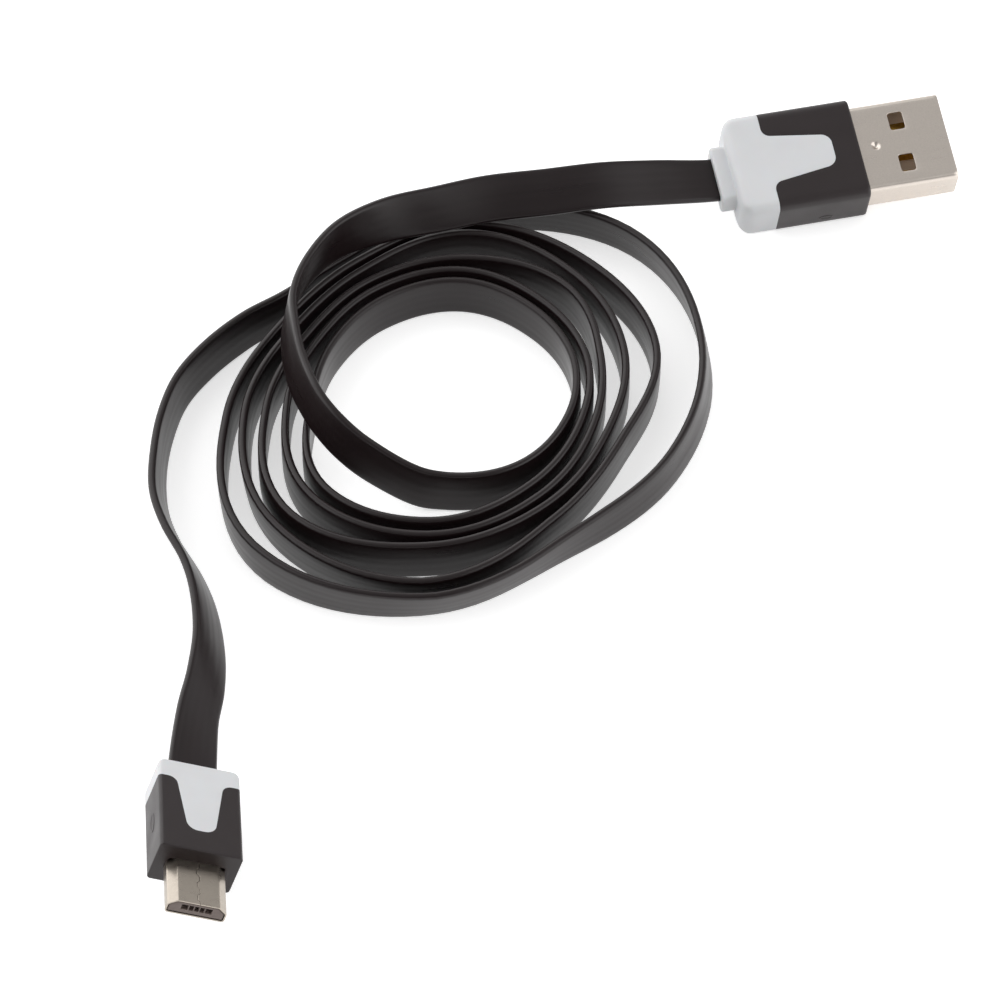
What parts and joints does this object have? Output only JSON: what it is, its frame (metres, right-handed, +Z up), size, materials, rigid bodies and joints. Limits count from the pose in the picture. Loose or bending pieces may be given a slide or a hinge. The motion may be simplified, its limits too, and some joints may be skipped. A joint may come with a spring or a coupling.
{
  "type": "charging cable",
  "caption": "Flat charging cable coiled on its edge, with a wide type A plug and a small micro B plug, each with a black cover and a white collar.",
  "frame": {"origin": "on the surface the cable rests on, in the middle of the rectangle round the two plugs", "axes": "+X is the way the type A plug goes in, +Z is up, away from the surface"},
  "size_m": [0.1228, 0.1102, 0.013],
  "materials": {
    "plated_steel": "satin nickel plating on folded sheet steel",
    "spring_steel": "plain stamped spring steel",
    "gold_contact": "gold plated contact spring",
    "black_insulator": "matt black moulded insulator",
    "inner_plastic": "natural low-pressure moulding",
    "black_cover": "fine-grained matt black moulding",
    "white_collar": "satin white moulding",
    "black_jacket": "matt flat-cable jacket with faint lengthwise streaks",
    "core_red": "plain core insulation",
    "core_white": "plain core insulation",
    "core_green": "plain core insulation",
    "core_black": "plain core insulation"
  },
  "bodies": {
    "cable": {"type_a_shell": "plated_steel", "type_a_insulator": "black_insulator", "type_a_contact_1": "gold_contact", "type_a_contact_2": "gold_contact", "type_a_contact_3": "gold_contact", "type_a_contact_4": "gold_contact", "type_a_inner_mould": "inner_plastic", "type_a_cover": "black_cover", "type_a_collar": "white_collar", "type_a_core_1": "core_red", "type_a_core_2": "core_white", "type_a_core_3": "core_green", "type_a_core_4": "core_black", "micro_shell": "plated_steel", "micro_insulator": "black_insulator", "micro_contact_1": "gold_contact", "micro_contact_2": "gold_contact", "micro_contact_3": "gold_contact", "micro_contact_4": "gold_contact", "micro_contact_5": "gold_contact", "micro_inner_mould": "inner_plastic", "micro_cover": "black_cover", "micro_collar": "white_collar", "micro_core_1": "core_red", "micro_core_2": "core_white", "micro_core_3": "core_green", "micro_core_4": "core_black", "type_a_lead": "black_jacket", "coil": "black_jacket", "micro_lead": "black_jacket"},
    "latch_left": {"micro_latch_left": "spring_steel"},
    "latch_right": {"micro_latch_right": "spring_steel"}
  },
  "joints": [
    {"name": "latch_left_flex", "type": "hinge", "parent": "cable", "child": "latch_left", "pos_m": [-0.05399, -0.0486, 0.00489], "axis": [-0.9219, 0.1889, 0.3383], "range_deg": [0, 5], "stiffness_Nm_per_rad": 0.02},
    {"name": "latch_right_flex", "type": "hinge", "parent": "cable", "child": "latch_right", "pos_m": [-0.05851, -0.04767, 0.00655], "axis": [-0.9219, 0.1889, 0.3383], "range_deg": [0, 5], "stiffness_Nm_per_rad": 0.02}
  ]
}
